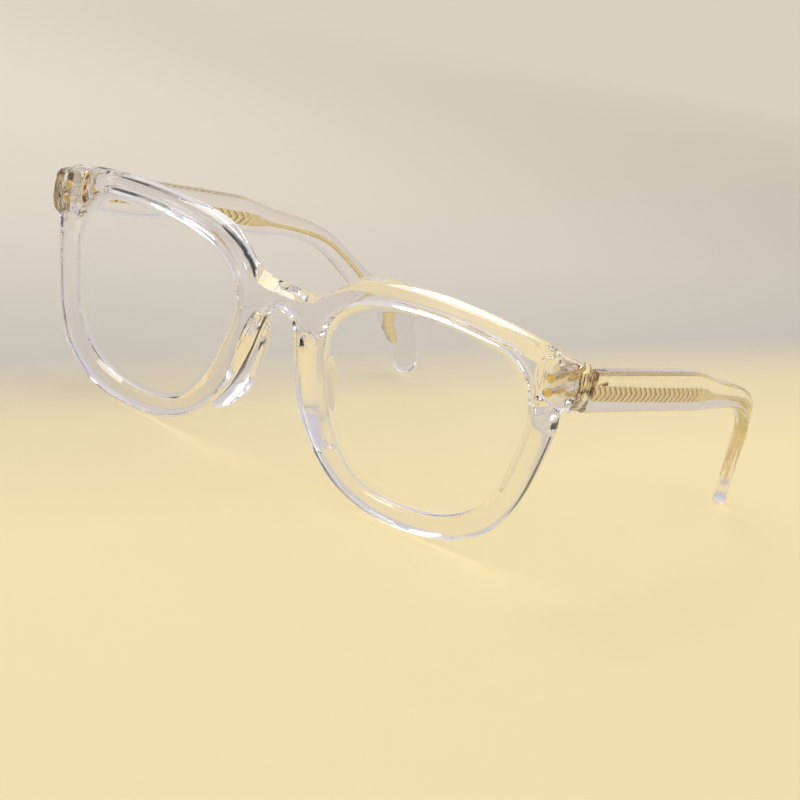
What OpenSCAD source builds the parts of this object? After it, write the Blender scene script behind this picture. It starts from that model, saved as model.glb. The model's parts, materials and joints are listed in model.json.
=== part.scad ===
// Acetate eyeglasses, open and standing on a flat surface.
//
// The parts are drawn in the front's own frame: X across the face, Y from the
// front towards the temple tips, Z up along the front, with the outer face of
// the bridge at the origin.  stand() then leans everything until the two rims
// and the two temple tips touch the surface Z = 0.  "Left" is the wearer's
// left, on +X.

/* [Front] */
// Width of one lens opening
lens_w = 50.4; // [47:0.2:52]
// Height of one lens opening
lens_h = 42; // [39:0.5:43]
// Least distance between the two lens openings
bridge_w = 22.4; // [20.8:0.2:24]
// Thickness of the acetate front
front_t = 4.4; // [4.2:0.1:4.8]
// Radius to which the whole front is wrapped
wrap_r = 545; // [480:5:800]
// Depth of the groove that holds each lens
groove_d = 0.8; // [0.4:0.1:1]
// Thickness of a lens at its rim
lens_t = 1.6; // [1.2:0.1:2]

/* [Temples] */
// Thickness of a temple
temple_t = 3.6; // [3.5:0.05:3.7]
// Thickness of the metal core inside a temple
core_t = 1.3; // [0.8:0.1:1.4]
// Height of the wide, braided stretch of the core
core_h = 3.4; // [2.4:0.1:4.4]
// Height of the core where it is a plain wire
wire_h = 1.3; // [1:0.1:1.8]

/* [Hinges] */
// Radius of the hinge knuckles
knuckle_r = 1.3; // [1.2:0.05:1.35]
// Height of one of the five knuckles
knuckle_h = 1.24; // [1.1:0.02:1.3]
// Radius of the hinge screw
screw_r = 0.7; // [0.6:0.05:0.8]
// Radius of the two rivets in each end of the front
rivet_r = 0.7; // [0.5:0.05:0.8]
// Distance between the two rivets
rivet_pitch = 3.1; // [2.8:0.1:3.8]

/* [Hidden] */

left = 1;
right = -1;
steps = 6;                  // straight pieces in each span of a curve
far = 200;                  // longer than any part
crystal = [0.93, 0.91, 0.86, 0.55];
clear = [0.9, 0.95, 1, 0.25];
gold = "#c9a24a";

lens_x = (bridge_w + lens_w) / 2;
lens_y = 2;                 // depth of the lens groove behind the outer face
lens_z = -0.85;

// Lens opening as fractions of its half width and half height.
lens_shape = [
    [1, 0.33], [0.95, 0.67], [0.74, 0.91], [0.42, 0.98], [0.02, 1], [-0.42, 0.95],
    [-0.76, 0.81], [-0.96, 0.56], [-0.99, 0.27], [-0.93, -0.06], [-0.79, -0.49], [-0.53, -0.86],
    [-0.2, -0.99], [0.14, -0.995], [0.47, -0.9], [0.72, -0.7], [0.88, -0.4], [0.95, -0.07]
];

// Brow line from the middle outwards: x, then the height of its back edge and
// of the lower edge of its front facet.
brow = [
    [0, 14.5, 13.2], [5, 14.7, 13.5], [9.5, 16.2, 14.9], [13, 19.2, 17.4], [17, 22.1, 19.8],
    [22, 23.7, 20.6], [31, 24.4, 20.9], [42, 24.4, 20.9], [52, 23.7, 20.1], [60, 22.4, 19],
    [66, 20.9, 17.5]
];
front_facet = 56;           // angle of the two facets to the horizontal
upper_facet = 19;
brow_step = 0.25;           // how far the lug stands above the end of the facets

// The end of the front, from the brow round to the notch under the hinge.
lug_edge = [[69, 20.2], [70, 18.9], [70.3, 16], [70.1, 12.8], [69.2, 10.6], [68, 9.5]];
lug_taper = 0.8;            // how much narrower the outer face is than the back

// Outer edge of the rim from that notch, under the lens and up to the bridge.
rim_edge = [
    [67.1, 9.2], [66.9, 5.5], [65.4, -2.2], [62.8, -11.5], [58.8, -18.8], [52.5, -23.4], [45.8, -25.6],
    [37.4, -26.3], [29.3, -25.6], [20.9, -22.5], [14.4, -17.1], [9.3, -9.8], [6.2, -2], [4.9, 3],
    [3.9, 6.8], [2.2, 8.8], [0, 9.3]
];

// Upper and lower edge of a temple as [y, z], from the hinge to the tip.
temple_top = [
    [11.05, 18.8], [40, 13.2], [62, 9], [70, 7.2], [80, 3.9], [91, 0.6], [102.5, -3.4], [108.5, -6.6],
    [115.5, -12.2], [124.8, -19.8], [133.3, -27.6], [138, -33.6], [140.2, -39.8], [139.6, -44.6],
    [137.2, -46.2]
];
temple_bottom = [
    [137.2, -46.2], [134.2, -44.4], [131, -38.6], [127.2, -32.4], [121.5, -25.4], [112.5, -17.2],
    [104.5, -10.6], [97, -7.2], [88, -4.7], [75, -2.9], [60, 0.2], [35, 5.1], [11.05, 9.8]
];

// Middle line of the core as [y, z, half height].
core_line = [
    [13.5, 13.6, core_h / 2], [50, 6, core_h / 2], [72, 1.6, core_h / 2], [82, -0.7, wire_h / 2],
    [97, -4.4, wire_h / 2], [106, -7.7, wire_h / 2], [112, -11.7, wire_h / 2], [119, -17.8, wire_h / 2],
    [125, -24.6, 1.2], [129.6, -31.6, 1.4], [132.6, -37, 0.7]
];

// Balls that a nose pad is drawn tight over: x, distance behind the rim, z, radius.
pad_balls = [[6.6, 0.3, 4.4, 2.1], [8, 3.9, -3.2, 3], [9.5, 3.4, -10.5, 3], [14.4, 0.3, -16.4, 2.2]];

hinge_x = 65.2;
hinge_y = 11.1;
hinge_z = 15.8;
mitre_y = 11;               // where the front ends and the temples begin
seat_y = 9.6;               // face of the front that the hinge sits in
lug_x = 61.2;               // where the thick end of the front begins
plate_t = 0.9;
plate_w = 3.4;
plate_h = 6.2;
knuckles = 5;
seat_x = hinge_x + knuckle_r + 0.35;
temple_plate_t = 0.7;
temple_plate_y = hinge_y + 1.7;
temple_plate_z = hinge_z - 3.3;
temple_plate_steps = [[3, 5.4], [8, 2]];    // length and height by the knuckles and along the core
proud = 0.3;                // how far a temple's hinge plate stands out of its inner face
running = 0.04;             // radial clearance of a knuckle that turns on the screw
fitted = 0.02;              // clearance of a piece that doesn't turn
head_r = 1.15;
head_h = 0.5;
rivet_x = 65;
rivet_z = 15.45;            // midway between the two rivets
rivet_head_r = 0.95;
boss_r = 6.5;
boss_x = 67.2;
boss_z = 16.5;
boss_rim = 0.35;            // width of the land between the boss and the end of the facets
boss_y = 3.1;               // flat face of the round boss in front of the hinge
boss_l = 3;                 // length that the boss reaches back into the front
lug_low = 11.5;             // corners of the front's thick end, inside the lens opening's outline
lug_high = 21.4;
temple_start = 68.5;        // middle of a temple's thickness at the mitre
splay = 0.052;              // how much a temple leans inwards along its straight part
tuck_y = 98;                // where a temple starts to curve inwards
tuck_l = 22;                // length over which it does
tuck_slope = 0.42;          // how much it leans inwards after that
inner = temple_start - temple_t / 2;        // inner face of a temple at the mitre

// Curve through a list of points: Catmull-Rom spans of equal steps.
function span_point(a, b, c, d, t) =
    0.5 * (2 * b + (c - a) * t + (2 * a - 5 * b + 4 * c - d) * t * t
    + (3 * b - a - 3 * c + d) * t * t * t);
function open_curve(p) = let (n = len(p) - 1) [
    for (i = [0:n - 1], k = [0:steps - 1])
        span_point(p[max(i - 1, 0)], p[i], p[i + 1], p[min(i + 2, n)], k / steps),
    p[n]
];
function closed_curve(p) = let (n = len(p)) [
    for (i = [0:n - 1], k = [0:steps - 1])
        span_point(p[(i + n - 1) % n], p[i], p[(i + 1) % n], p[(i + 2) % n], k / steps)
];
function backwards(p) = [for (i = [len(p) - 1:-1:0]) p[i]];

// Distance of the wrapped outer face behind the flat plane Y = 0.
function wrap_y(x) = wrap_r - sqrt(wrap_r * wrap_r - x * x);

// How far a temple has turned inwards at distance y behind the front.
function tuck(y) = let (past = max(y - tuck_y, 0), bent = min(past, tuck_l))
    tuck_slope * (bent * bent / (2 * tuck_l) + past - bent);

// Middle of a temple's thickness at distance y behind the front.
function temple_x(y) = temple_start - splay * (y - mitre_y) - tuck(y);

brow_curve = open_curve(brow);
temple_profile = concat(open_curve(temple_top), open_curve(temple_bottom));

// The standing pose: a lean about X, then a shift.
rim_foot = [wrap_y(37.4), -26.3];
tip_foot = [137.8, -46.2];
lean = atan((rim_foot[1] - tip_foot[1]) / (tip_foot[0] - rim_foot[0]));
function leaned_y(p) = p[0] * cos(lean) - p[1] * sin(lean);
function leaned_z(p) = p[0] * sin(lean) + p[1] * cos(lean);
front_most = min([for (b = brow_curve) leaned_y([wrap_y(b[0]), b[2]])]);
back_most = max([for (p = temple_profile) leaned_y(p)]);
lowest = min(leaned_z(rim_foot), min([for (p = temple_profile) leaned_z(p)]));

module stand() {
    translate([0, -(front_most + back_most) / 2, -lowest]) rotate([lean, 0, 0]) children();
}

// side is left or right: the parts are drawn for the left and mirrored.
module on_side(side) {
    stand() scale([side, 1, 1]) children();
}

// Extrudes an outline in X and Z from depth y0 to depth y1.
module along_y(y0, y1) {
    translate([0, y1, 0]) rotate([90, 0, 0]) linear_extrude(y1 - y0) children();
}

// Extrudes an outline in X and Z through the whole front.
module through_front() {
    along_y(-2, mitre_y + 2) children();
}

// Wrapped sheet between two distances behind the outer face.
module sheet(y0, y1) {
    translate([0, wrap_r, -far / 2]) difference() {
        cylinder(r = wrap_r - y0, h = far, $fn = 720);
        translate([0, 0, -1]) cylinder(r = wrap_r - y1, h = far + 2, $fn = 720);
    }
}

module lens_outline(grow) {
    translate([lens_x, lens_z])
        polygon([for (p = closed_curve(lens_shape)) [p[0] * (lens_w / 2 + grow), p[1] * (lens_h / 2 + grow)]]);
}

// Half of the front, from the middle plane outwards.
module half_outline() {
    polygon(concat(
        [for (b = brow_curve) [b[0], b[1] + brow_step]],
        [for (p = lug_edge) [p[0] - lug_taper, p[1]]],
        open_curve(rim_edge)
    ));
}

// What a facet takes away: all that lies above the plane strips that rise
// backwards at an angle from a line, given as [x, z] where it meets Y = 0.
module above_facet(angle, line) {
    last = len(line) - 1;
    rotate([angle, 0, 0]) along_y(-60, 60) polygon(concat(
        [[-3, line[0].y * cos(angle)]],
        [for (p = line) [p.x, p.y * cos(angle)]],
        [[line[last].x, 60], [-3, 60]]
    ));
}

module facet_cut() {
    difference() {
        union() {
            above_facet(front_facet, [for (b = brow_curve) [b[0], b[2] - wrap_y(b[0]) * tan(front_facet)]]);
            above_facet(upper_facet, [
                for (b = brow_curve) [b[0], b[1] - (wrap_y(b[0]) + front_t) * tan(upper_facet)]
            ]);
        }
        translate([boss_x, -far / 2, boss_z]) rotate([-90, 0, 0])
            cylinder(r = boss_r + boss_rim, h = far, $fn = 96);
    }
}

module half_front() {
    difference() {
        union() {
            intersection() {
                through_front() half_outline();
                sheet(0, front_t);
            }
            lug();
        }
        facet_cut();
        through_front() lens_outline(0);
        intersection() {
            through_front() lens_outline(groove_d);
            sheet(lens_y, lens_y + lens_t);
        }
        hinge_seat();
        for (s = [-1, 1]) rivet_hole(s);
    }
}

// Solid end of the front: a round boss outside, and a block behind it that
// reaches back to meet the temple.
module lug() {
    intersection() {
        along_y(wrap_y(hinge_x), mitre_y) lug_outline();
        linear_extrude(40) polygon([
            [lug_x, 0], [lug_edge[2].x - lug_taper, 0], [lug_edge[2].x - lug_taper, boss_y + 1],
            [lug_edge[2].x, seat_y], [lug_edge[2].x, mitre_y], [seat_x, mitre_y], [seat_x, seat_y],
            [lug_x, seat_y]
        ]);
    }
    along_y(boss_y, boss_y + boss_l) intersection() {
        translate([boss_x, boss_z]) circle(boss_r, $fn = 96);
        translate([-lug_taper, 0]) lug_outline();
    }
}

module lug_outline() {
    polygon(concat([[lug_x, lug_low], [lug_x, lug_high]], lug_edge));
}

// Shallow pocket for the hinge plate.
module hinge_seat() {
    translate([rivet_x - plate_w / 2 - fitted, seat_y - plate_t, hinge_z - plate_h / 2 - fitted])
        cube([plate_w + 2 * fitted, plate_t + 1, plate_h + 2 * fitted]);
}

module rivet_hole(s) {
    translate([rivet_x, 0, rivet_z + s * rivet_pitch / 2]) rotate([-90, 0, 0]) {
        cylinder(r = rivet_r + fitted, h = mitre_y + 1, $fn = 48);
        cylinder(r = rivet_head_r + fitted, h = boss_y + head_h, $fn = 48);
    }
}

module front() {
    color(crystal) stand() {
        half_front();
        mirror([1, 0, 0]) half_front();
    }
}

module lens(side) {
    edge = groove_d - 0.1;
    color(clear) on_side(side) intersection() {
        through_front() lens_outline(edge);
        sheet(lens_y + fitted, lens_y + lens_t - fitted);
    }
}

// Pad glued to the back of the rim beside the nose.
module nose_pad(side) {
    color(crystal) on_side(side) difference() {
        hull() {
            for (ball = pad_balls)
                translate([ball[0], front_t + ball[1], ball[2]]) sphere(ball[3], $fn = 32);
        }
        translate([0, wrap_r, -far / 2]) difference() {
            cylinder(r = wrap_r + 20, h = far, $fn = 720);
            translate([0, 0, -1]) cylinder(r = wrap_r - front_t, h = far + 2, $fn = 720);
        }
    }
}

module knuckle(i) {
    translate([hinge_x, hinge_y, hinge_z + (i - knuckles / 2) * knuckle_h + fitted])
        cylinder(r = knuckle_r, h = knuckle_h - 2 * fitted, $fn = 64);
}

// Bar that ties knuckle i to its plate: from corner [x, y] with size [w, d].
module knuckle_tie(i, corner, size) {
    translate([corner[0], corner[1], hinge_z + (i - knuckles / 2) * knuckle_h + fitted])
        cube([size[0], size[1], knuckle_h - 2 * fitted]);
}

module hinge_bore(r) {
    translate([hinge_x, hinge_y, hinge_z - far / 2]) cylinder(r = r, h = far, $fn = 64);
}

// Outer, middle and lower knuckles on a plate let into the front.
module front_hinge(side) {
    color(gold) on_side(side) difference() {
        union() {
            translate([rivet_x - plate_w / 2, seat_y - plate_t, hinge_z - plate_h / 2])
                cube([plate_w, plate_t, plate_h]);
            for (i = [0, 2, 4]) {
                knuckle(i);
                knuckle_tie(i, [hinge_x - 1, seat_y - 0.1], [2, hinge_y - seat_y]);
            }
        }
        hinge_bore(screw_r + fitted);
        for (s = [-1, 1]) translate([rivet_x, 0, rivet_z + s * rivet_pitch / 2])
            rotate([-90, 0, 0]) cylinder(r = rivet_r + fitted, h = seat_y + 0.02, $fn = 48);
    }
}

// Stepped plate between two distances from the middle plane, grown by a clearance.
module temple_plate(x0, x1, grow) {
    for (size = temple_plate_steps)
        translate([x0, temple_plate_y - grow, temple_plate_z - grow])
            cube([x1 - x0, size.x + 2 * grow, size.y + 2 * grow]);
}

// Two knuckles on a plate let into the inner face of the temple.
module temple_hinge(side) {
    color(gold) on_side(side) difference() {
        union() {
            temple_plate(inner - proud, inner - proud + temple_plate_t, 0);
            for (i = [1, 3]) {
                knuckle(i);
                knuckle_tie(i, [hinge_x + 0.2, hinge_y], [knuckle_r - 0.2, 3]);
                knuckle_tie(i, [hinge_x + 0.2, hinge_y + 1.8], [inner - hinge_x, 1.2]);
            }
        }
        hinge_bore(screw_r + running);
    }
}

// Screw with a slotted head that holds the five knuckles together.
module hinge_screw(side) {
    half = knuckles * knuckle_h / 2;
    color(gold) on_side(side) translate([hinge_x, hinge_y, hinge_z]) difference() {
        union() {
            translate([0, 0, -half]) cylinder(r = screw_r, h = 2 * half + 0.1, $fn = 64);
            translate([0, 0, half + 0.02]) cylinder(r = head_r, h = head_h, $fn = 64);
        }
        translate([-2, -0.15, half + 0.3]) cube([4, 0.3, 1]);
    }
}

module rivet(side, s) {
    color(gold) on_side(side) translate([rivet_x, boss_y, rivet_z + s * rivet_pitch / 2])
        rotate([-90, 0, 0]) {
            cylinder(r = rivet_r, h = seat_y - boss_y - fitted, $fn = 48);
            cylinder(r = rivet_head_r, h = head_h - fitted, $fn = 48);
        }
}

// Extrudes a side view, drawn as [y, z], across the thickness t of a temple.
module temple_sheet(t) {
    stations = [mitre_y - 2, for (k = [0:4]) tuck_y + k * tuck_l / 4, 150];
    intersection() {
        rotate([90, 0, 90]) linear_extrude(90) children();
        translate([0, 0, -60]) linear_extrude(100) polygon(concat(
            [for (y = stations) [temple_x(y) - t / 2, y]],
            [for (y = backwards(stations)) [temple_x(y) + t / 2, y]]
        ));
    }
}

module core_outline() {
    middle = open_curve(core_line);
    polygon(concat(
        [for (p = middle) [p[0], p[1] + p[2]]],
        [for (p = backwards(middle)) [p[0], p[1] - p[2]]]
    ));
}

module temple(side) {
    color(crystal) on_side(side) difference() {
        temple_sheet(temple_t) polygon(temple_profile);
        temple_sheet(core_t) core_outline();
        temple_plate(inner - 1, inner - proud + temple_plate_t + fitted, fitted);
        for (i = [1, 3]) knuckle_tie(i, [inner - 1, hinge_y + 1], [1 + temple_plate_t, 2.1]);
    }
}

module core_wire(side) {
    color(gold) on_side(side) temple_sheet(core_t) core_outline();
}

front();
lens(left);  // lens_left
lens(right);  // lens_right
nose_pad(left);  // nose_pad_left
nose_pad(right);  // nose_pad_right
front_hinge(left);  // front_hinge_left
front_hinge(right);  // front_hinge_right
hinge_screw(left);  // hinge_screw_left
hinge_screw(right);  // hinge_screw_right
rivet(left, 1);  // rivet_upper_left
rivet(left, -1);  // rivet_lower_left
rivet(right, 1);  // rivet_upper_right
rivet(right, -1);  // rivet_lower_right
temple(left);  // temple_left
temple(right);  // temple_right
core_wire(left);  // core_wire_left
core_wire(right);  // core_wire_right
temple_hinge(left);  // temple_hinge_left
temple_hinge(right);  // temple_hinge_right
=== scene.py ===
"""Eyeglasses in clear acetate with gilt cores in the temples, standing open on a pale floor.

Shapes are drawn in the front's own frame, in millimetres: X across the face, Y from the
front back towards the temple tips, Z up along the front.  STAND takes them to the row frame.
"""

import json
import math

import bmesh
import bpy
from mathutils import Matrix, Vector


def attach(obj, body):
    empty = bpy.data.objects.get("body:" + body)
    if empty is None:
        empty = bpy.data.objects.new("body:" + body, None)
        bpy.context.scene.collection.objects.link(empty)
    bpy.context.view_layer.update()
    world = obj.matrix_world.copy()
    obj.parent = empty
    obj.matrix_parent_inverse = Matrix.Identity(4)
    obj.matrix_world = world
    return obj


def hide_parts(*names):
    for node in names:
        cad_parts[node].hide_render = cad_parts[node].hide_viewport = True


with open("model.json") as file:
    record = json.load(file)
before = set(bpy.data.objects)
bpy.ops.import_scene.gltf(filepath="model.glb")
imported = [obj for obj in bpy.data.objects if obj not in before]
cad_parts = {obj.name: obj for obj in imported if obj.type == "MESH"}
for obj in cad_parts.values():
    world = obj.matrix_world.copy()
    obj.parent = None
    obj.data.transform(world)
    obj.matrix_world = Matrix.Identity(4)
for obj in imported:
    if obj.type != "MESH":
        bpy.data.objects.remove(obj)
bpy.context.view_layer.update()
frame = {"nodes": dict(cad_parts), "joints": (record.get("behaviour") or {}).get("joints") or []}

# Front
LENS_SIZE = (50.4, 42.0)
BRIDGE_W = 22.4
LENS_CENTRE = ((BRIDGE_W + LENS_SIZE[0]) / 2, -0.85)
FRONT_T = 4.4
WRAP_R = 545.0                  # radius of the front's curve round the face
GROOVE = (2.0, 3.6)             # depth of the front and the back of the lens groove
GROOVE_D = 0.7                  # how far the groove goes into the rim
LENS_SHAPE = [                  # as fractions of half the width and half the height
    (1, 0.33), (0.95, 0.67), (0.74, 0.91), (0.42, 0.98), (0.02, 1), (-0.42, 0.95),
    (-0.76, 0.81), (-0.96, 0.56), (-0.99, 0.27), (-0.93, -0.06), (-0.79, -0.49), (-0.53, -0.86),
    (-0.2, -0.99), (0.14, -0.995), (0.47, -0.9), (0.72, -0.7), (0.88, -0.4), (0.95, -0.07),
]
BROW = [                        # x, height of the back edge, of the front facet's lower edge
    (0, 14.5, 13.2), (5, 14.7, 13.5), (9.5, 16.2, 14.9), (13, 19.2, 17.4), (17, 22.1, 19.8),
    (22, 23.7, 20.6), (31, 24.4, 20.9), (42, 24.4, 20.9), (52, 23.7, 20.1), (60, 22.4, 19),
    (66, 20.9, 17.5),
]
FRONT_FACET = math.tan(math.radians(56))    # rise of the brow's front facet for each unit of depth
UPPER_FACET = math.tan(math.radians(19))    # and of the facet above it
LUG = [(67.6, 20.3), (68.8, 19.2), (69.4, 17.4), (69.5, 15.2), (69.2, 12.6), (68.4, 10.6), (67.4, 9.6)]
RIM = [                         # from under the solid end round to the bridge's lower edge
    (67.1, 9.2), (66.9, 5.5), (65.4, -2.2), (62.8, -11.5), (58.8, -18.8), (52.5, -23.4), (45.8, -25.6),
    (37.4, -26.3), (29.3, -25.6), (20.9, -22.5), (14.4, -17.1), (9.3, -9.8), (6.2, -2), (4.9, 3),
    (3.9, 6.8), (2.2, 8.8), (0, 9.3),
]
STATION_STEPS = 6               # sections from one outline point of the front to the next
SECTION_BLEND = 5.0             # length over which the brow's section turns into the rim's
LUG_BLOCK = [                   # solid end of the front
    (61.4, 11.5), (61.4, 21.3), (69, 20.1), (70, 18.9), (70.3, 16), (70.1, 12.8), (69.2, 10.6), (68, 9.5),
]
LUG_SKIN = [(66.9, 10.2), (66.9, 20.2)] + LUG_BLOCK[2:]
LUG_TAPER = 0.8                 # how much narrower than its end the front is at the boss
SEAT_Y = 9.6                    # back of the solid end, where the hinge plate is let in
MITRE_Y = 11.0                  # where the temple meets the front
OUTLINE_STEP = 0.8              # longest side of a stacked outline
BOSS = (67.2, 16.5, 6.5)        # centre and radius
BOSS_Y = 3.1
FLAT_STEP = 0.05                # how far behind the boss's face the flat under the boss begins
FLAT_SLOPE = 0.15               # how fast that flat falls back to the rim
FLAT_FADE = (4, 1)              # how far below the boss's middle the flat begins and ends its fade
RAMP_Y = 9.35                   # where the ramp under the solid end of the front begins, at its back
RAMP_SLOPE = 0.26
RAMP_X = 59.0                   # how far out the ramp has its full height
RAMP_FADE = (3.0, 2.0)          # lengths over which the ramp fades, towards the nose and upwards
HINGE = (65.2, 11.1, 15.8)      # the point of the hinge axis that the left joint is placed by
RIVETS = [(65.0, 17.0), (65.0, 13.9)]       # x and z

# Temples
TEMPLE_T = 3.6
TEMPLE_START = 68.5             # middle of a temple's thickness at the mitre
SPLAY = 0.052                   # slope towards the head
TUCK_Y, TUCK_L, TUCK_SLOPE = 98.0, 22.0, 0.42   # where it bends in, over what length, and how far
TEMPLE_EDGE_R = 1.0
TIP_THINNING = 0.15             # taken from half a temple's thickness on the way to its tip
TIP_THINNING_Y = (90, 130)
TIP_ROUND_STEPS = 8             # rings of the round tip
TEMPLE_LINE = [                 # y, z and half height along the middle of a temple
    (11.05, 14.3, 4.5), (24, 11.8, 4.5), (40, 8.7, 4.55), (62, 4.4, 4.6), (70, 2.65, 4.5), (80, 0.1, 3.7),
    (91, -2.45, 3), (99, -5, 2.75), (106.5, -8.7, 2.75), (114, -14.6, 2.85), (123.2, -22.6, 3.3),
    (130.3, -30, 3.9), (134.4, -36.2, 4.1), (136.6, -42, 3.7),
]
CORE_LINE = [                   # y, z, half height, half thickness
    (13.6, 13.55, 1.65, 0.6), (24, 11.35, 1.7, 0.6), (50, 6, 1.7, 0.6), (72, 1.6, 1.7, 0.6),
    (77, 0.4, 1.2, 0.6), (82, -0.7, 0.65, 0.6), (97, -4.4, 0.65, 0.6), (106, -7.7, 0.65, 0.6),
    (112, -11.7, 0.65, 0.6), (119, -17.8, 0.7, 0.6), (125, -24.6, 1.2, 0.5), (129.6, -31.6, 1.35, 0.45),
    (132.4, -36.6, 0.8, 0.4),
]
CORE_STEP = 0.13                # distance from ring to ring
CORE_FACE_POINTS = 14           # points across each face
CORE_ROUNDING = 0.65            # share of a plain wire's thickness that its edges lose
BRAID_PITCH = 2.7
BRAID_SLANT = 1.3               # how far a strand runs along the temple for each unit of height
BRAID_END = (70.0, 77.0)        # where the braid gives way to a plain wire
STRAND_ROUNDNESS = 0.4          # a low power makes full strands with narrow gaps
STRAND_T = (0.55, 0.42)         # share of the thickness at a gap, and what a strand adds
BRAID_ROUNDING = 0.3            # share of the braid's thickness that its edges lose
STRAND_BULGE = (0.14, 0.7)      # how far a strand widens the braid, and the height that keeps its width

# The front's frame in the row frame: the hinge's place and tilt give both the lean and the shift.
fold = next(j for j in frame["joints"] if j["name"] == "left_temple_fold")
LEAN = Matrix.Rotation(math.atan2(-fold["axis"][1], fold["axis"][2]), 4, "X")
MM = Matrix.Scale(0.001, 4)
STAND = Matrix.Translation(Vector(fold["pos_m"]) - LEAN @ MM @ Vector(HINGE)) @ LEAN @ MM

SIDES = {"left": 1, "right": -1}


# Curves

def span_point(a, b, c, d, t):
    """A point of a Catmull-Rom span from b to c."""
    return tuple(
        0.5 * (2 * q + (r - p) * t + (2 * p - 5 * q + 4 * r - s) * t * t + (3 * q - p - 3 * r + s) * t ** 3)
        for p, q, r, s in zip(a, b, c, d)
    )


def open_curve(points, steps):
    """A smooth curve through points, with so many steps from each to the next."""
    last = len(points) - 1
    made = [
        span_point(points[max(i - 1, 0)], points[i], points[i + 1], points[min(i + 2, last)], k / steps)
        for i in range(last) for k in range(steps)
    ]
    return made + [tuple(map(float, points[-1]))]


def closed_curve(points, steps):
    """A smooth closed curve through points."""
    n = len(points)
    return [
        span_point(points[i - 1], points[i], points[(i + 1) % n], points[(i + 2) % n], k / steps)
        for i in range(n) for k in range(steps)
    ]


def mix(a, b, t):
    """The point a share t of the way from a to b."""
    return tuple(p + (q - p) * t for p, q in zip(a, b))


def smoothstep(x, low, high):
    """0 up to low, 1 from high on, and a smooth rise between."""
    t = min(max((x - low) / (high - low), 0), 1)
    return t * t * (3 - 2 * t)


def wrap_y(x):
    """Distance of the wrapped outer face behind the flat plane Y = 0."""
    return WRAP_R - math.sqrt(WRAP_R ** 2 - x ** 2)


def tangents(points, closed=False):
    """Unit tangents of a plane curve."""
    n = len(points)
    made = []
    for i in range(n):
        a = points[(i - 1) % n] if closed else points[max(i - 1, 0)]
        b = points[(i + 1) % n] if closed else points[min(i + 1, n - 1)]
        length = math.dist(a[:2], b[:2])
        made.append(((b[0] - a[0]) / length, (b[1] - a[1]) / length))
    return made


# Meshes

SAME_PLACE = 1e-7               # vertices nearer than this, in metres, are one


def to_scene(name, data):
    """A new object of the scene that shows a mesh, a light or a camera."""
    obj = bpy.data.objects.new(name, data)
    bpy.context.scene.collection.objects.link(obj)
    return obj


def finish_mesh(mesh, sharp):
    """Smooth shading, with edges sharper than an angle in degrees left sharp."""
    mesh.shade_smooth()
    mesh.set_sharp_from_angle(angle=math.radians(sharp))


def new_object(name, verts, faces, side=1, sharp=30, relief=None):
    """An object from vertices in the front's frame, drawn for the left and mirrored for side -1."""
    mesh = bpy.data.meshes.new(name)
    mesh.from_pydata([STAND @ Vector((x * side, y, z)) for x, y, z in verts], [], faces)
    if relief:
        layer = mesh.attributes.new("relief", "FLOAT", "POINT")
        layer.data.foreach_set("value", relief)
    bm = bmesh.new()
    bm.from_mesh(mesh)
    bmesh.ops.remove_doubles(bm, verts=bm.verts, dist=SAME_PLACE)
    bmesh.ops.recalc_face_normals(bm, faces=bm.faces)
    bm.to_mesh(mesh)
    bm.free()
    finish_mesh(mesh, sharp)
    return to_scene(name, mesh)


def skin(rings):
    """Vertices and faces of a closed surface through rings of equal length."""
    n = len(rings[0])
    verts = [p for ring in rings for p in ring]
    faces = [
        (r * n + k, r * n + (k + 1) % n, (r + 1) * n + (k + 1) % n, (r + 1) * n + k)
        for r in range(len(rings) - 1) for k in range(n)
    ]
    faces.append(tuple(range(n)))
    faces.append(tuple(range((len(rings) - 1) * n, len(rings) * n)))
    return verts, faces


def combine(base, tools, operation):
    """Boolean of a mesh object with others, which are used up."""
    for tool in tools:
        modifier = base.modifiers.new("combine", "BOOLEAN")
        modifier.operation = operation
        modifier.solver = "MANIFOLD"
        modifier.object = tool
        graph = bpy.context.evaluated_depsgraph_get()
        made = bpy.data.meshes.new_from_object(base.evaluated_get(graph))
        base.modifiers.clear()
        base.data = made
        bpy.data.objects.remove(tool)


def place(obj, body, slot, material, *nodes):
    """Gives a piece its material and its body, and hides the CAD nodes that it stands for; the slot is not
    used.
    """
    obj.data.materials.clear()
    obj.data.materials.append(material)
    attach(obj, body)
    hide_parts(*nodes)


# Front

LENS_STEPS = 8                  # steps from one point of the lens shape to the next


def lens_outline(grow):
    """Outline of the lens opening, grown by a distance."""
    half = (LENS_SIZE[0] / 2 + grow, LENS_SIZE[1] / 2 + grow)
    shape = closed_curve(LENS_SHAPE, LENS_STEPS)
    return [(LENS_CENTRE[0] + x * half[0], LENS_CENTRE[1] + z * half[1]) for x, z in shape]


def aperture_at(angle, outline, angles):
    """Point of the lens opening seen from its middle at an angle, in radians."""
    n = len(outline)
    for i in range(n):
        a = angles[i]
        span = (angles[(i + 1) % n] - a) % (2 * math.pi)
        past = (angle - a) % (2 * math.pi)
        if past <= span:
            return mix(outline[i], outline[(i + 1) % n], past / span)
    return outline[0]


def seen_angle(p):
    """Angle of a point seen from the lens's middle, with the opening squeezed to a round one."""
    return math.atan2((p[1] - LENS_CENTRE[1]) / LENS_SIZE[1], (p[0] - LENS_CENTRE[0]) / LENS_SIZE[0])


# A section of the front's outer edge: inset and depth of three points from the face back to the wall,
# and the radius of the roll at the back.
RIM_SECTION = [(1.15, 0), (0.45, 0.3), (0, 0.95), 1.9]
BROW_WALL = FRONT_T - 0.45      # depth at which the brow's wall ends
BROW_ROLL = 0.4
LEAST_RIDGE = 0.15              # a front facet shallower than this is left out
PLAIN_EDGE = 0.3                # depth of the small facet that stands there instead


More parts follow.
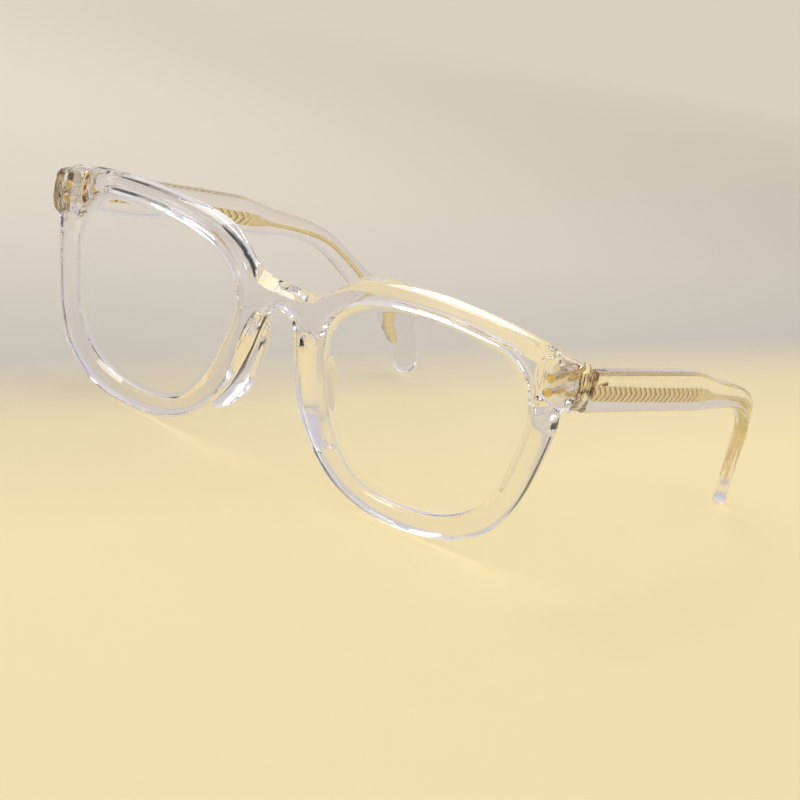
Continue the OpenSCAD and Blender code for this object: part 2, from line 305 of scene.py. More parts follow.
def brow_section(back, front):
    """Section of the brow between the front facet's lower edge and the back edge, given as heights."""
    top = back - UPPER_FACET * FRONT_T
    ridge = (top - front) / (FRONT_FACET - UPPER_FACET)
    if ridge > LEAST_RIDGE:
        points = [(back - front, 0), (back - front - FRONT_FACET * ridge, ridge)]
    else:
        points = [(back - top, 0), (back - top - UPPER_FACET * PLAIN_EDGE, PLAIN_EDGE)]
    return points + [(0, BROW_WALL), BROW_ROLL]


def front_stations():
    """Outer points of half the front with the inward direction and section at each."""
    made = []
    brow = open_curve(BROW, STATION_STEPS)
    for x, back, front in brow:
        made.append({"at": (x, back), "in": (0, -1), "section": brow_section(back, front)})
    outer = open_curve([BROW[-1][:2]] + LUG + RIM, STATION_STEPS)[1:]
    line = [s["at"] for s in made] + outer
    for at, (tx, tz) in list(zip(line, tangents(line)))[len(brow):]:
        share = smoothstep(math.dist(at, BROW[-1][:2]), 0, SECTION_BLEND)
        inward = Vector(mix((0, -1), (tz, -tx), share)).normalized()
        start = made[len(brow) - 1]["section"]
        section = [mix(p, q, share) for p, q in zip(start[:3], RIM_SECTION[:3])]
        section.append(start[3] + (RIM_SECTION[3] - start[3]) * share)
        made.append({"at": at, "in": tuple(inward), "section": section})
    made[-1]["at"], made[-1]["in"] = (0.0, RIM[-1][1]), (0, 1)
    return made


def flat_lift(x, z):
    """How far the flat under the boss stands in front of the wrapped face."""
    flat = BOSS_Y + FLAT_STEP + FLAT_SLOPE * max(BOSS[1] - BOSS[2] - z, 0)
    return max(wrap_y(x) - flat, 0) * (1 - smoothstep(z, BOSS[1] - FLAT_FADE[0], BOSS[1] - FLAT_FADE[1]))


def ramp_lift(x, z):
    """How far the back of the rim swells out towards the solid end of the front."""
    low = BOSS[1] - BOSS[2]
    ramp_y = RAMP_Y - RAMP_SLOPE * max(low - z, 0)
    share = (1 - smoothstep(z, low, low + RAMP_FADE[1])) * smoothstep(x, RAMP_X - RAMP_FADE[0], RAMP_X)
    return max(ramp_y - wrap_y(x) - FRONT_T, 0) * share


def front_point(x, z, depth):
    """A point of the front at a depth behind its face, with the flat and the ramp under each end."""
    ahead = flat_lift(x, z) * max(1 - depth / GROOVE[0], 0)
    behind = ramp_lift(x, z) * min(max((depth - GROOVE[1]) / (FRONT_T - GROOVE[1]), 0), 1)
    return (x, wrap_y(x) + depth - ahead + behind, z)


HOLE_BACK = [(0.45, 0), (0.12, 0.14), (0, 0.45)]    # rounded back edge of the lens opening: away, ahead
HOLE_FRONT = [(0, 0.25), (0.07, 0.07), (0.25, 0)]   # and its front edge: away, depth
ROLL_POINTS = 4                 # points round the roll at the back of the outer edge
BACK_SHARES = (0.33, 0.67)      # points across the back face
FIRST_FACE, FACE_POINTS = 9, 5  # the first of a ring's points across the front face, and how many
FIRST_WALL = FIRST_FACE + FACE_POINTS
LAST_WALL = FIRST_WALL + 2 + ROLL_POINTS    # the outer wall lies between these places in the ring


def section_ring(at, inward, section, hole, hole_out):
    """Points round one section of the front, from the back of the lens opening round to the back."""
    (bevel, ridge, wall, r) = section

    def outside(inset, depth):
        return front_point(at[0] + inward[0] * inset, at[1] + inward[1] * inset, depth)

    def inside(away, depth):
        return front_point(hole[0] + hole_out[0] * away, hole[1] + hole_out[1] * away, depth)

    middle = (GROOVE[0] + GROOVE[1]) / 2
    ring = [inside(away, FRONT_T - ahead) for away, ahead in HOLE_BACK]
    ring += [inside(0, GROOVE[1]), inside(GROOVE_D, middle), inside(0, GROOVE[0])]
    ring += [inside(away, depth) for away, depth in HOLE_FRONT]
    inner, outer = ring[-1], outside(*bevel)
    for k in range(FACE_POINTS):
        x, _, z = mix(inner, outer, (k + 1) / (FACE_POINTS + 1))
        ring.append(front_point(x, z, 0))
    ring += [outside(*bevel), outside(*ridge), outside(*wall)]
    for k in range(ROLL_POINTS):
        turn = k * math.pi / (2 * (ROLL_POINTS - 1))
        ring.append(outside(r * (1 - math.cos(turn)), FRONT_T - r + r * math.sin(turn)))
    edge = ring[-1]
    for share in BACK_SHARES:
        x, _, z = mix(edge, ring[0], share)
        ring.append(front_point(x, z, FRONT_T))
    return ring


def bridge_ring(upper, lower, share, hole, hole_out):
    """A section on the middle plane, whose outer wall lies between those of the sections above and below."""
    ring = section_ring((0, 0), (0, 0), [(0, 0), (0, 0), (0, 0), 1], hole, hole_out)
    for k in range(FIRST_WALL, LAST_WALL + 1):
        ring[k] = mix(upper[k], lower[k], share)
    for k in range(FACE_POINTS):
        ring[FIRST_FACE + k] = mix(ring[FIRST_FACE - 1], ring[FIRST_WALL], (k + 1) / (FACE_POINTS + 1))
    for k, part in enumerate(BACK_SHARES, LAST_WALL + 1):
        ring[k] = mix(ring[LAST_WALL], ring[0], part)
    return ring


LEAST_TURN = 1e-3               # so that each section lies past the one before, in radians
ASIDE = 0.02                    # how far to each side the opening's direction is taken from, in radians


def facing_holes(points):
    """For each outer point, the point of the lens opening that it faces, and the direction out of it."""
    outline = lens_outline(0)
    angles = [seen_angle(p) for p in outline]
    made = []
    turned = None
    for point in points:
        angle = seen_angle(point)
        if turned is not None:
            step = (turned - angle + math.pi) % (2 * math.pi) - math.pi
            angle = turned - max(step, LEAST_TURN)
        turned = angle
        ahead = aperture_at(angle - ASIDE, outline, angles)
        behind = aperture_at(angle + ASIDE, outline, angles)
        along = Vector((ahead[0] - behind[0], ahead[1] - behind[1])).normalized()
        made.append((aperture_at(angle, outline, angles), (-along[1], along[0])))
    return made


BRIDGE_SHARES = (0.75, 0.5, 0.25)   # places of the middle sections, from the top of the bridge down


def half_front():
    """Vertices and faces of the left half of the front, open on the middle plane."""
    stations = front_stations()
    top, bottom = stations[0]["at"], stations[-1]["at"]
    # Once round: the bridge from its lower edge up, the brow, the end, and the rim back to the bridge.
    outer = [mix(top, bottom, share) for share in BRIDGE_SHARES] + [s["at"] for s in stations]
    holes = facing_holes(outer)
    on_bridge = len(BRIDGE_SHARES)
    walls = [
        section_ring(s["at"], s["in"], s["section"], *hole) for s, hole in zip(stations, holes[on_bridge:])
    ]
    middle = [bridge_ring(walls[0], walls[-1], share, *hole) for share, hole in zip(BRIDGE_SHARES, holes)]
    rings = middle + walls
    n = len(rings[0])
    count = len(rings)
    verts = [p for ring in rings for p in ring]
    faces = []
    for r in range(count):
        after = (r + 1) % count
        on_middle_plane = r < on_bridge or r == count - 1
        for k in range(n):
            if on_middle_plane and FIRST_WALL <= k < LAST_WALL:
                continue
            faces.append((r * n + k, r * n + (k + 1) % n, after * n + (k + 1) % n, after * n + k))
    return verts, faces


def inset_outline(points, inset):
    """A closed outline, run either way round, moved inwards by a distance."""
    middle = (sum(p[0] for p in points) / len(points), sum(p[1] for p in points) / len(points))
    made = []
    for p, (tx, tz) in zip(points, tangents(points, closed=True)):
        inward = (tz, -tx)
        if inward[0] * (middle[0] - p[0]) + inward[1] * (middle[1] - p[1]) < 0:
            inward = (-tz, tx)
        made.append((p[0] + inward[0] * inset, p[1] + inward[1] * inset))
    return made


def stack(points, levels):
    """Closed surface of an outline in X and Z stacked along Y: levels are (y, inset)."""
    return skin([[(x, y, z) for x, z in inset_outline(points, inset)] for y, inset in levels])


def densify(points, most):
    """A closed polygon with no side longer than a distance."""
    made = []
    for p, q in zip(points, points[1:] + points[:1]):
        parts = max(1, math.ceil(math.dist(p, q) / most))
        made += [mix(p, q, k / parts) for k in range(parts)]
    return made


PARALLEL = 1e-9                 # a ray and a side whose cross product is smaller never meet


def inside_polygon_radius(centre, angle, polygon, most):
    """How far a ray from the centre goes before it meets the polygon, at most a given radius."""
    dx, dz = math.cos(angle), math.sin(angle)
    best = most
    for (ax, az), (bx, bz) in zip(polygon, polygon[1:] + polygon[:1]):
        ex, ez = bx - ax, bz - az
        cross = dx * ez - dz * ex
        if abs(cross) < PARALLEL:
            continue
        t = ((ax - centre[0]) * ez - (az - centre[1]) * ex) / cross
        u = ((ax - centre[0]) * dz - (az - centre[1]) * dx) / cross
        if t > 0 and 0 <= u <= 1:
            best = min(best, t)
    return best


# Rings from the front back: y and inset, or y and radius for the rivet recess.
BLOCK_LEVELS = [(7.4, 0.5), (8.8, 0.05), (SEAT_Y - 0.3, 0.05), (SEAT_Y, 0.35)]
SKIN_LEVELS = [(8.8, 0.1), (MITRE_Y - 0.25, 0.0), (MITRE_Y, 0.2)]
BOSS_LEVELS = [(BOSS_Y, 0.9), (BOSS_Y + 0.1, 0.55), (BOSS_Y + 0.45, 0.15), (BOSS_Y + 1, 0), (8.2, 0)]
RECESS_LEVELS = [(2.0, 1.3), (BOSS_Y, 1.2), (BOSS_Y + 0.1, 1.1), (BOSS_Y + 0.5, 1.05)]
BOSS_INNER_EDGE = [(56, 9.5), (56, 22)]     # well inside the front, so that the boss is round there


def circle_turns(count):
    """Angles spread evenly round a circle."""
    return [2 * math.pi * k / count for k in range(count)]


def lug_pieces(side):
    """Solid end of the front, its outer skin that meets the temple, and the round boss."""
    block = stack(densify(LUG_BLOCK, OUTLINE_STEP), BLOCK_LEVELS)
    outer = stack(densify(LUG_SKIN, OUTLINE_STEP), SKIN_LEVELS)
    narrow = [(x - LUG_TAPER, z) for x, z in LUG_BLOCK[1:]] + BOSS_INNER_EDGE
    turns = circle_turns(96)
    reach = [inside_polygon_radius(BOSS[:2], a, narrow, BOSS[2]) for a in turns]
    rings = []
    for y, inset in BOSS_LEVELS:
        rings.append([
            (BOSS[0] + (r - inset) * math.cos(a), y, BOSS[1] + (r - inset) * math.sin(a))
            for a, r in zip(turns, reach)
        ])
    return [new_object("lug", *made, side=side) for made in (block, outer, skin(rings))]


PAD_LINE = [                    # x, z, half width and how far it stands out behind, along a pad
    (6.4, 6.6, 0.6, 0.5), (6.5, 5.6, 1.6, 1.9), (7.1, 1.5, 2.7, 5.4), (8.1, -4, 3, 6.8), (9.5, -10.5, 3, 6.2),
    (11.8, -14, 2.6, 4), (14, -17, 2, 1.8), (15, -18.4, 0.5, 0.4),
]
PAD_SPLAY = 0.3                 # how far a pad leans away from the nose for each unit of its depth
PAD_TILT = 0.25                 # how far its cross-sections rise towards the lens
PAD_FOOT = 0.9                  # how far it is let into the rim
PAD_GAP = 0.05                  # height of its widest line over the rim's back


def nose_pad(side):
    """A crowned pad whose foot is let into the back of the rim."""
    rings = []
    for x, z, half, out in open_curve(PAD_LINE, 5):
        ring = []
        for turn in circle_turns(28):
            depth = math.sin(turn)
            reach = out if depth > 0 else PAD_FOOT
            px = x + half * math.cos(turn) + PAD_SPLAY * reach * max(depth, 0)
            back = wrap_y(px) + FRONT_T + PAD_GAP
            ring.append((px, back + reach * depth, z + PAD_TILT * half * math.cos(turn)))
        rings.append(ring)
    return new_object("pad", *skin(rings), side=side)


def rivet_recess(side, at):
    """A shallow round cutter where a rivet's head lies."""
    turns = circle_turns(40)
    rings = [
        [(at[0] + r * math.cos(a), y, at[1] + r * math.sin(a)) for a in turns] for y, r in RECESS_LEVELS
    ]
    return new_object("recess", *skin(rings), side=side)


FRONT_SHARP = 30                # edges of the front sharper than this, in degrees, stay crisp


def make_front(acetate):
    """Both halves of the front, joined with their solid ends, bosses and pads, and cut for the rivets."""
    verts, faces = half_front()
    n = len(verts)
    both = verts + [(-x, y, z) for x, y, z in verts]
    front = new_object("front_acetate", both, faces + [tuple(n + i for i in f[::-1]) for f in faces])
    parts = []
    for side in SIDES.values():
        parts += lug_pieces(side) + [nose_pad(side)]
    combine(front, parts, "UNION")
    combine(front, [rivet_recess(side, at) for side in SIDES.values() for at in RIVETS], "DIFFERENCE")
    finish_mesh(front.data, FRONT_SHARP)
    place(front, "front_assembly", "crystal_acetate", acetate, "front", "nose_pad_left", "nose_pad_right")


LENS_BULGE = 1.1                # how far the middle of a lens stands forward of its rim
LENS_HALF_T = 0.55              # half a lens's thickness
LENS_BEVEL = (0.965, 0.5)       # share of the way to the edge, and half thickness, where the bevel begins
LENS_PLAY = 0.25                # left free at the bottom of the groove
LENS_RINGS = 10


def make_lens(name, material):
    """A thin curved lens with a bevelled edge that sits in the groove."""
    side = SIDES[name]
    outline = lens_outline(GROOVE_D - LENS_PLAY)
    middle = (GROOVE[0] + GROOVE[1]) / 2

    def ring(share, depth):
        points = [mix(LENS_CENTRE, p, share) for p in outline]
        return [(x, wrap_y(x) + depth - LENS_BULGE * (1 - share ** 2), z) for x, z in points]

    shares = [k / LENS_RINGS for k in range(1, LENS_RINGS)]
    bevel, bevel_half_t = LENS_BEVEL
    front = [ring(s, middle - LENS_HALF_T) for s in shares] + [ring(bevel, middle - bevel_half_t)]
    back = [ring(bevel, middle + bevel_half_t)] + [ring(s, middle + LENS_HALF_T) for s in shares[::-1]]
    lens = new_object("lens_" + name + "_curved", *skin(front + [ring(1, middle)] + back), side=side)
    place(lens, "front_assembly", "clear_lens", material, "lens_" + name)


# Temples

def temple_x(y):
    """Middle of a temple's thickness at distance y behind the front."""
    past = max(y - TUCK_Y, 0)
    bent = min(past, TUCK_L)
    return TEMPLE_START - SPLAY * (y - MITRE_Y) - TUCK_SLOPE * (bent ** 2 / (2 * TUCK_L) + past - bent)


def temple_frame(line):
    """Place, sideways and upward directions along a line of (y, z, ...)."""
    made = []
    for (y, z, *rest), (ty, tz) in zip(line, tangents(line)):
        slope = temple_x(y + 0.5) - temple_x(y - 0.5)
        across = Vector((1, -slope, 0)).normalized()
        up = Vector((-tz * slope, -tz, ty)).normalized()
        made.append((Vector((temple_x(y), y, z)), across, up, rest))
    return made


CORNER_POINTS = 5
FULLEST_CORNER = 0.98           # a corner's radius is at most this share of the half width and height


def rounded_section(half_t, half_h, r):
    """Points round a rectangle with round corners, as (thickness, height)."""
    r = min(r, half_t * FULLEST_CORNER, half_h * FULLEST_CORNER)
    made = []
    for corner, (sx, sz) in enumerate(((1, 1), (-1, 1), (-1, -1), (1, -1))):
        for k in range(CORNER_POINTS):
            turn = (corner + k / (CORNER_POINTS - 1)) * math.pi / 2
            made.append((sx * (half_t - r) + r * math.cos(turn), sz * (half_h - r) + r * math.sin(turn)))
    return made


END_CHAMFER = (0.3, 0.08)       # insets of a temple's first two sections, at its end on the front
LEAST_TIP = 0.04                # share of the height that the last ring of the tip keeps
TIP_FLAT = 0.35                 # share of the thickness that it keeps


def temple_ring(at, across, up, section):
    """A section of a temple at its place along the temple."""
    return [at + across * t + up * h for t, h in section]


def make_temple(name, acetate):
    """A temple with rounded edges and a round tip."""
    rings = []
    stations = temple_frame(open_curve(TEMPLE_LINE, 8))
    start = stations[0][0]
    for i, (at, across, up, (half_h,)) in enumerate(stations):
        half_t = TEMPLE_T / 2 - TIP_THINNING * smoothstep(at.y, *TIP_THINNING_Y)
        inset = END_CHAMFER[i] if i < len(END_CHAMFER) else 0
        if i == 1:
            at = start + (stations[2][0] - start).normalized() * END_CHAMFER[0]
        section = rounded_section(half_t - inset, half_h - inset, TEMPLE_EDGE_R - inset / 2)
        rings.append(temple_ring(at, across, up, section))
    end, across, up, (half_h,) = stations[-1]
    ahead = across.cross(up).normalized()
    if ahead.y < 0:
        ahead = -ahead
    for k in range(1, TIP_ROUND_STEPS + 1):
        turn = k * math.pi / 2 / TIP_ROUND_STEPS
        h = half_h * max(math.cos(turn), LEAST_TIP)
        t = (TEMPLE_T / 2 - TIP_THINNING) * (TIP_FLAT + (1 - TIP_FLAT) * math.cos(turn) ** 0.5)
        at = end + ahead * half_h * math.sin(turn)
        rings.append(temple_ring(at, across, up, rounded_section(t, h, TEMPLE_EDGE_R)))
    temple = new_object("temple_" + name + "_acetate", *skin(rings), side=SIDES[name])
    place(temple, name + "_temple", "crystal_acetate", acetate, "temple_" + name)


def evenly(line, step):
    """Points of a curve in Y and Z a fixed distance apart."""
    made = [line[0]]
    left = step
    for a, b in zip(line, line[1:]):
        length = math.dist(a[:2], b[:2])
        at = left
        while at <= length:
            made.append(mix(a, b, at / length))
            at += step
        left = at - length
    return made


CORE_SHARP = 70                 # edges of the core sharper than this, in degrees, stay crisp


def make_core(name, braid):
    """Flat core with a chevron braid on both faces, running into a plain wire and a thin blade."""
    line = evenly(open_curve(CORE_LINE, 30), CORE_STEP)
    gap_t, strand_t = STRAND_T
    bulge, even_strand = STRAND_BULGE
    rings, relief = [], []
    run = 0.0
    previous = None
    for at, across, up, (half_h, half_t) in temple_frame(line):
        if previous is not None:
            run += (at - previous).length
        previous = at
        woven = 1 - smoothstep(at.y, *BRAID_END)
        ring = []
        for face in (1, -1):
            for k in range(CORE_FACE_POINTS):
                v = face * (1 - 2 * (k + 0.5) / CORE_FACE_POINTS)
                phase = math.pi * (run + BRAID_SLANT * abs(v) * half_h) / BRAID_PITCH
                strand = abs(math.cos(phase)) ** STRAND_ROUNDNESS
                round_off = math.sqrt(1 - v * v)
                plain = half_t * (1 - CORE_ROUNDING * (1 - round_off))
                bumpy = half_t * (gap_t + strand_t * strand) * (1 - BRAID_ROUNDING * (1 - round_off))
                t = plain + (bumpy - plain) * woven
                h = half_h * (1 + bulge * woven * (strand - even_strand))
                ring.append(at + across * face * t + up * v * h)
                # the relief also sets the painted shade of the gaps in the braid's material
                relief.append(1 + (strand - 1) * woven)
        rings.append(ring)
    core = new_object(
        "core_" + name + "_braid", *skin(rings), side=SIDES[name], sharp=CORE_SHARP, relief=relief
    )
    place(core, name + "_temple", "braided_core", braid, "core_wire_" + name)


# Hardware

HARDWARE = [                    # kind, whether it rides on the front, width of its rounded edges
    ("front_hinge", True, 0.07), ("hinge_screw", True, 0.07), ("rivet_upper", True, 0.3),
    ("rivet_lower", True, 0.3), ("temple_hinge", False, 0.07),
]
BARREL_R = 1.4                  # reach of the barrel round the hinge axis
RIVET_HEAD_L = 0.6              # length of a rivet's head behind the boss's face
PLATE_END = 0.4                 # how far outside the hinge axis the plate's gilt end begins
WELD = 1e-6                     # vertices of a CAD mesh nearer than this, in metres, are one
SMOOTH_WITHIN = 1               # faces that meet at less than this, in degrees, become one
METAL_SHARP = 35                # edges sharper than this, in degrees, stay crisp
ROUNDED_FROM = 40               # and edges sharper than this are rounded


def is_gilt(centre, side):
    """True where a piece of hardware is gilt: the rivet heads, the barrel and the plate's outer end."""
    x, y, _ = STAND.inverted() @ centre
    on_barrel = math.dist((x * side, y), HINGE[:2]) < BARREL_R
    return y < BOSS_Y + RIVET_HEAD_L or on_barrel or x * side > HINGE[0] + PLATE_END


def make_hardware(name, gilt, banded, pale):
    """The small metal pieces with their edges rounded, gilt where they show and pale inside the acetate."""
    for kind, on_front, edge in HARDWARE:
        node = kind + "_" + name
        mesh = frame["nodes"][node].data.copy()
        bm = bmesh.new()
        bm.from_mesh(mesh)
        bmesh.ops.remove_doubles(bm, verts=bm.verts, dist=WELD)
        flat = math.radians(SMOOTH_WITHIN)
        bmesh.ops.dissolve_limit(bm, angle_limit=flat, verts=bm.verts, edges=bm.edges)
        bm.to_mesh(mesh)
        bm.free()
        piece = to_scene(node + "_gilt", mesh)
        bevel = piece.modifiers.new("edges", "BEVEL")
        bevel.width = edge / 1000
        bevel.segments = 3
        bevel.limit_method = "ANGLE"
        bevel.angle_limit = math.radians(ROUNDED_FROM)
        finish_mesh(mesh, METAL_SHARP)
        body = "front_assembly" if on_front else name + "_temple"
        place(piece, body, "gilt_metal", gilt if "rivet" in kind else banded, node)
        mesh.materials.append(pale)
        for face in mesh.polygons:
            face.material_index = 0 if is_gilt(face.center, SIDES[name]) else 1


# Materials

def start_material(name):
    """A new material with its tree, its shader and the place of each point on the piece."""
    material = bpy.data.materials.new(name)
    material.use_nodes = True
    tree = material.node_tree
    where = tree.nodes.new("ShaderNodeTexCoord").outputs["Object"]
    return material, tree, tree.nodes["Principled BSDF"], where


def add(tree, kind, **sockets):
    """A node with some of its sockets set; an underscore in a name stands for a space."""
    node = tree.nodes.new(kind)
    for key, value in sockets.items():
        node.inputs[key.replace("_", " ")].default_value = value
    return node


def noise(tree, coordinates, scale, detail=2.0, stretch=(1, 1, 1)):
    """Noise of a scale, finer along an axis where the stretch is more than 1."""
    mapping = add(tree, "ShaderNodeMapping", Scale=stretch)
    tree.links.new(coordinates, mapping.inputs["Vector"])
    node = add(tree, "ShaderNodeTexNoise", Scale=scale, Detail=detail)
    tree.links.new(mapping.outputs["Vector"], node.inputs["Vector"])
    return node.outputs["Fac"]


def ramp(tree, factor, stops):
    """A colour for each factor, between stops of (factor, colour)."""
    node = tree.nodes.new("ShaderNodeValToRGB")
    elements = node.color_ramp.elements
    for i, (at, colour) in enumerate(stops):
        element = elements[i] if i < 2 else elements.new(at)
        element.position = at
        element.color = (*colour, 1)
    tree.links.new(factor, node.inputs["Fac"])
    return node.outputs["Color"]


def remap(tree, value, low, high):
    """A value from 0 to 1 taken to the range from low to high."""
    node = add(tree, "ShaderNodeMapRange", To_Min=low, To_Max=high)
    tree.links.new(value, node.inputs["Value"])
    return node.outputs["Result"]


def multiply(tree, base, tint, factor):
    """A colour multiplied by another."""
    node = tree.nodes.new("ShaderNodeMix")
    node.data_type = "RGBA"
    node.blend_type = "MULTIPLY"
    node.inputs["Factor"].default_value = factor
    tree.links.new(base, node.inputs["A"])
    tree.links.new(tint, node.inputs["B"])
    return node.outputs["Result"]


def calculate(tree, operation, value, number):
    """A value combined with a number by a Math node."""
    node = tree.nodes.new("ShaderNodeMath")
    node.operation = operation
    node.inputs[1].default_value = number
    tree.links.new(value, node.inputs[0])
    return node.outputs["Value"]


def bump(tree, shader, height, strength, distance):
    """A fine relief of the surface, with its depth in metres."""
    node = add(tree, "ShaderNodeBump", Strength=strength, Distance=distance)
    tree.links.new(height, node.inputs["Height"])
    tree.links.new(node.outputs["Normal"], shader.inputs["Normal"])


def let_lamps_through(tree, shader, tint):
    """Clear pieces cast almost no shadow: rays from lamps pass straight through."""
    output = tree.nodes["Material Output"]
    path = tree.nodes.new("ShaderNodeLightPath")
    clear = add(tree, "ShaderNodeBsdfTransparent", Color=(*tint, 1))
    either = tree.nodes.new("ShaderNodeMixShader")
    tree.links.new(path.outputs["Is Shadow Ray"], either.inputs["Fac"])
    tree.links.new(shader.outputs["BSDF"], either.inputs[1])
    tree.links.new(clear.outputs["BSDF"], either.inputs[2])
    tree.links.new(either.outputs["Shader"], output.inputs["Surface"])


def acetate_material():
    """Polished clear acetate: faintly lilac, with soft clouds and a barely uneven polish."""
    material, tree, shader, where = start_material("crystal_acetate")
    tree.links.new(
        ramp(tree, noise(tree, where, 55, 3), [(0.3, (0.93, 0.915, 0.95)), (0.7, (0.975, 0.965, 0.985))]),
        shader.inputs["Base Color"],
    )
    tree.links.new(remap(tree, noise(tree, where, 400, 4), 0.01, 0.05), shader.inputs["Roughness"])
    bump(tree, shader, noise(tree, where, 160, 1), 0.05, 0.0002)
    shader.inputs["Transmission Weight"].default_value = 1.0
    shader.inputs["IOR"].default_value = 1.48
    let_lamps_through(tree, shader, (0.95, 0.93, 0.9))
    return material


def lens_material():
    """Clear demonstration lens with the faintest smears."""
    material, tree, shader, where = start_material("clear_lens")
    tree.links.new(
        ramp(tree, noise(tree, where, 40), [(0.35, (0.975, 0.98, 0.985)), (0.65, (0.99, 0.995, 1.0))]),
        shader.inputs["Base Color"],
    )
    smears = noise(tree, where, 90, 5, (1, 1, 2.5))
    tree.links.new(remap(tree, smears, 0.0, 0.03), shader.inputs["Roughness"])
    shader.inputs["Transmission Weight"].default_value = 1.0
    shader.inputs["IOR"].default_value = 1.45
    let_lamps_through(tree, shader, (0.98, 0.98, 0.98))
    return material


BAND_H = 1.24                   # height of one band of the barrel


def gilt_material(name, banded):
    """Gold-coloured plated metal with fine turning marks; if banded, brown bands cross the barrel."""
    material, tree, shader, where = start_material(name)
    gold = ramp(tree, noise(tree, where, 700, 3), [(0.3, (0.6, 0.42, 0.15)), (0.7, (0.88, 0.7, 0.34))])
    if banded:
        along = add(tree, "ShaderNodeVectorMath")
        along.operation = "DOT_PRODUCT"
        tree.links.new(where, along.inputs[0])
        along.inputs[1].default_value = fold["axis"]
        bands = calculate(tree, "MULTIPLY", along.outputs["Value"], 1000 / BAND_H)
        wave = calculate(tree, "PINGPONG", bands, 1.0)
        band = ramp(tree, wave, [(0.4, (0.3, 0.16, 0.07)), (0.6, (1, 1, 1))])
        gold = multiply(tree, gold, band, 1.0)
    tree.links.new(gold, shader.inputs["Base Color"])
    tree.links.new(remap(tree, noise(tree, where, 1200, 4), 0.16, 0.4), shader.inputs["Roughness"])
    bump(tree, shader, noise(tree, where, 900, 4, (1, 1, 9)), 0.25, 0.00003)
    shader.inputs["Metallic"].default_value = 1.0
    return material


def pale_material():
    """Pale polished metal of the hinge plates and the rivet shanks."""
    material, tree, shader, where = start_material("pale_metal")
    tree.links.new(
        ramp(tree, noise(tree, where, 500, 3), [(0.3, (0.78, 0.73, 0.68)), (0.7, (0.95, 0.91, 0.86))]),
        shader.inputs["Base Color"],
    )
    tree.links.new(remap(tree, noise(tree, where, 1200, 4), 0.1, 0.3), shader.inputs["Roughness"])
    bump(tree, shader, noise(tree, where, 900, 4, (9, 1, 1)), 0.2, 0.00003)
    shader.inputs["Metallic"].default_value = 1.0
    return material


def braid_material():
    """Gilt wire braid: bright on the strands, with painted shade making it dark brown in the gaps between
    them.
    """
    material, tree, shader, where = start_material("braided_core")
    relief = tree.nodes.new("ShaderNodeAttribute")
    relief.attribute_name = "relief"
    # painted shade: where the relief is low, in the gaps between strands, the colour turns dark brown
    shade = ramp(tree, relief.outputs["Fac"], [(0.42, (0.09, 0.045, 0.02)), (0.62, (1.0, 0.9, 0.62))])
    speckle = ramp(tree, noise(tree, where, 1500, 3), [(0.35, (0.7, 0.66, 0.6)), (0.65, (1, 1, 1))])
    tree.links.new(multiply(tree, shade, speckle, 0.5), shader.inputs["Base Color"])
    tree.links.new(remap(tree, noise(tree, where, 1000, 3), 0.25, 0.45), shader.inputs["Roughness"])
    bump(tree, shader, noise(tree, where, 1600, 2), 0.2, 0.00003)
    shader.inputs["Metallic"].default_value = 1.0
    return material


FLOOR_SPREAD = (-0.9, 0.02)     # stretch across which the card changes colour, as X in metres
FLOOR_COLOURS = [
    (-0.9, (0.9, 0.83, 0.66)), (-0.45, (0.76, 0.7, 0.57)), (-0.16, (0.62, 0.58, 0.5)),
    (-0.07, (0.53, 0.5, 0.44)), (-0.03, (0.76, 0.655, 0.39)), (0.02, (0.85, 0.725, 0.4)),
]


def floor_material():
    """Matt card: cream on the near side, through a greyer band to a pale beige far away."""
    material, tree, shader, where = start_material("floor_card")
    apart = tree.nodes.new("ShaderNodeSeparateXYZ")
    tree.links.new(where, apart.inputs["Vector"])
    low, high = FLOOR_SPREAD
    spread = add(tree, "ShaderNodeMapRange", From_Min=low, From_Max=high)
    tree.links.new(apart.outputs["X"], spread.inputs["Value"])
    stops = [((x - low) / (high - low), colour) for x, colour in FLOOR_COLOURS]
    tree.links.new(ramp(tree, spread.outputs["Result"], stops), shader.inputs["Base Color"])
    tree.links.new(remap(tree, noise(tree, where, 60, 5), 0.6, 0.75), shader.inputs["Roughness"])
    bump(tree, shader, noise(tree, where, 900, 3), 0.1, 0.00005)
    return material


# Stage

CAMERA_AT = (0.26481, -0.46902, 0.12485)
CAMERA_LOOK = (-0.49122, 0.84604, -0.20719)
CAMERA_RIGHT = (0.80231, 0.53208, 0.27054)
CAMERA_LENS = 103.2


def make_camera():
    """The camera at the front left of the glasses, a little above them."""
    data = bpy.data.cameras.new("camera")
    data.lens = CAMERA_LENS
    data.clip_start, data.clip_end = 0.01, 50
    camera = to_scene("camera", data)
    look, right = Vector(CAMERA_LOOK).normalized(), Vector(CAMERA_RIGHT).normalized()
    up = right.cross(look).normalized()
    turn = Matrix((right, up, -look)).transposed()
    camera.matrix_world = Matrix.Translation(Vector(CAMERA_AT)) @ turn.to_4x4()
    bpy.context.scene.camera = camera


FLOOR_HALF = 15                 # half the width of the flat part, in metres
FLOOR_RIM = (35, 2.5)           # half the width and the height of the raised edge


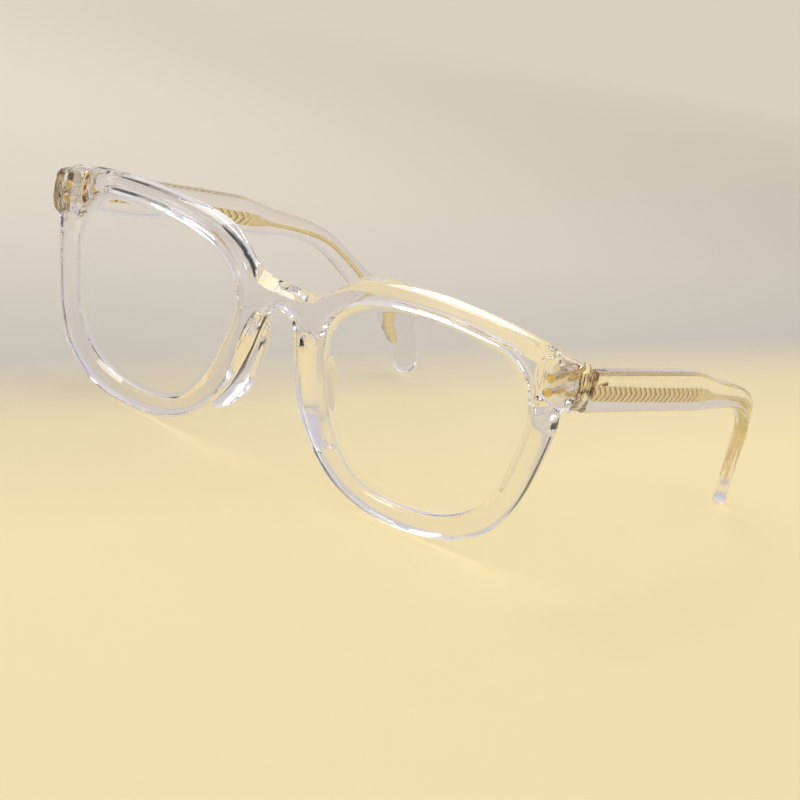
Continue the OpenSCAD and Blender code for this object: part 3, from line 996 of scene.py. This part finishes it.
def make_floor():
    """A large card whose far edges rise a little, so that no gap shows above them."""
    mesh = bpy.data.meshes.new("floor")
    corners = [(-1, -1), (1, -1), (1, 1), (-1, 1)]
    verts = [(x * half, y * half, z) for half, z in ((FLOOR_HALF, 0), FLOOR_RIM) for x, y in corners]
    faces = [(0, 1, 2, 3)] + [(k, k + 4, (k + 1) % 4 + 4, (k + 1) % 4) for k in range(4)]
    mesh.from_pydata(verts, [], faces)
    mesh.materials.append(floor_material())
    floor = to_scene("floor", mesh)


OBJECT_MIDDLE = (0, 0, 0.02)


def area_light(name, at, size, power, colour):
    """A rectangular lamp that points at the object."""
    data = bpy.data.lights.new(name, "AREA")
    data.shape = "RECTANGLE"
    data.size, data.size_y = size
    data.energy = power
    data.color = colour
    light = to_scene(name, data)
    light.location = at
    light.rotation_mode = "QUATERNION"
    light.rotation_quaternion = (Vector(OBJECT_MIDDLE) - Vector(at)).to_track_quat("-Z", "Y")


SKY = [                         # height in the sky and colour
    (0.0, (0.82, 0.78, 0.74)), (0.12, (0.7, 0.67, 0.74)), (0.5, (1, 0.96, 0.92)), (1.0, (0.85, 0.84, 0.87)),
]


def make_lights():
    """Two soft lamps, a pale sky, and enough bounces for light to pass through the clear pieces."""
    area_light("key", (-0.35, 0.15, 0.75), (0.5, 0.35), 2.2, (1, 0.97, 0.92))
    area_light("fill", (0.6, -0.5, 0.5), (0.4, 0.4), 0.8, (0.95, 0.97, 1))
    world = bpy.data.worlds.new("studio")
    world.use_nodes = True
    tree = world.node_tree
    background = tree.nodes["Background"]
    where = tree.nodes.new("ShaderNodeTexCoord").outputs["Generated"]
    apart = tree.nodes.new("ShaderNodeSeparateXYZ")
    tree.links.new(where, apart.inputs["Vector"])
    tree.links.new(ramp(tree, apart.outputs["Z"], SKY), background.inputs["Color"])
    background.inputs["Strength"].default_value = 0.85
    scene = bpy.context.scene
    scene.world = world
    scene.view_settings.view_transform = "Standard"
    scene.cycles.max_bounces = 32
    scene.cycles.transmission_bounces = 32
    scene.cycles.glossy_bounces = 12


make_camera()
make_floor()
make_lights()

crystal = acetate_material()
clear = lens_material()
gilt = gilt_material("gilt_metal", False)
banded = gilt_material("gilt_barrel", True)
pale = pale_material()
braid = braid_material()
make_front(crystal)
for wearer_side in SIDES:
    make_lens(wearer_side, clear)
    make_temple(wearer_side, crystal)
    make_core(wearer_side, braid)
    make_hardware(wearer_side, gilt, banded, pale)

bpy.context.view_layer.update()
